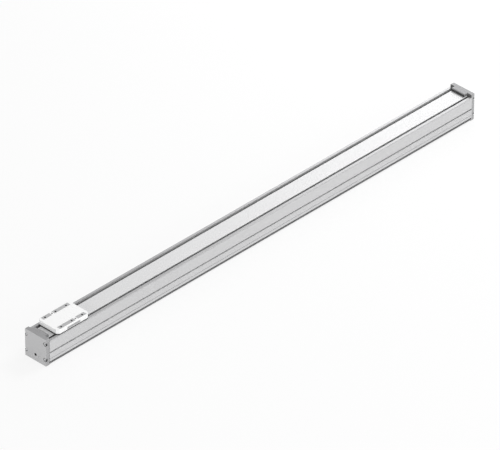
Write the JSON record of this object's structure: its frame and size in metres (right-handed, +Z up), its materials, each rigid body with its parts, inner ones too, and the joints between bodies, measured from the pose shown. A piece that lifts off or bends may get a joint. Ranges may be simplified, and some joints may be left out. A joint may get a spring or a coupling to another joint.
{
  "type": "linear guide axis",
  "caption": "Long extruded channel axis with a fixed cover strip, end plates and a slide that runs on an inner steel rail.",
  "frame": {"origin": "middle of the underside", "axes": "+X along the axis from the near end to the far end, +Z up, -Y the side that faces the camera"},
  "size_m": [1.716, 0.086, 0.096],
  "materials": {
    "profile": "natural anodised, fine drawn grain along the axis",
    "cover": "natural anodised, satin",
    "end_plate": "grey anodised, satin",
    "clamp": "grey anodised, satin",
    "seat": "milled",
    "slide": "bright anodised, satin",
    "slide_cover": "grey anodised, satin",
    "bridge": "milled",
    "rail": "ground",
    "block": "ground",
    "cap": "moulded",
    "screw": "zinc plated",
    "dark_screw": "blackened",
    "nipple": "turned",
    "buffer": "moulded",
    "wiper": "moulded, dull"
  },
  "bodies": {
    "frame": {"profile": "profile", "cover_strip": "cover", "near_end_plate": "end_plate", "far_end_plate": "end_plate", "near_end_plate_screws": "screw", "far_end_plate_screws": "screw", "near_strip_clamp": "clamp", "far_strip_clamp": "clamp", "near_clamp_pad": "wiper", "far_clamp_pad": "wiper", "near_cover_seat": "seat", "far_cover_seat": "seat", "near_seat_screws": "dark_screw", "far_seat_screws": "dark_screw", "near_clamp_screws": "dark_screw", "far_clamp_screws": "dark_screw", "guide_rail": "rail", "guide_rail_screws": "dark_screw", "near_buffer_front": "buffer", "near_buffer_rear": "buffer", "far_buffer_front": "buffer", "far_buffer_rear": "buffer"},
    "carriage": {"slide_body": "slide", "slide_cover_front": "slide_cover", "slide_cover_rear": "slide_cover", "near_wiper": "wiper", "far_wiper": "wiper", "carriage_bridge": "bridge", "bridge_screws": "dark_screw", "near_block": "block", "far_block": "block", "near_block_outer_cap": "cap", "near_block_inner_cap": "cap", "far_block_inner_cap": "cap", "far_block_outer_cap": "cap", "block_screws": "dark_screw", "near_lube_nipple": "nipple", "far_lube_nipple": "nipple"}
  },
  "joints": [
    {"name": "slide_travel", "type": "slide", "parent": "frame", "child": "carriage", "axis": [1, 0, 0], "range_m": [0, 1.5]}
  ]
}
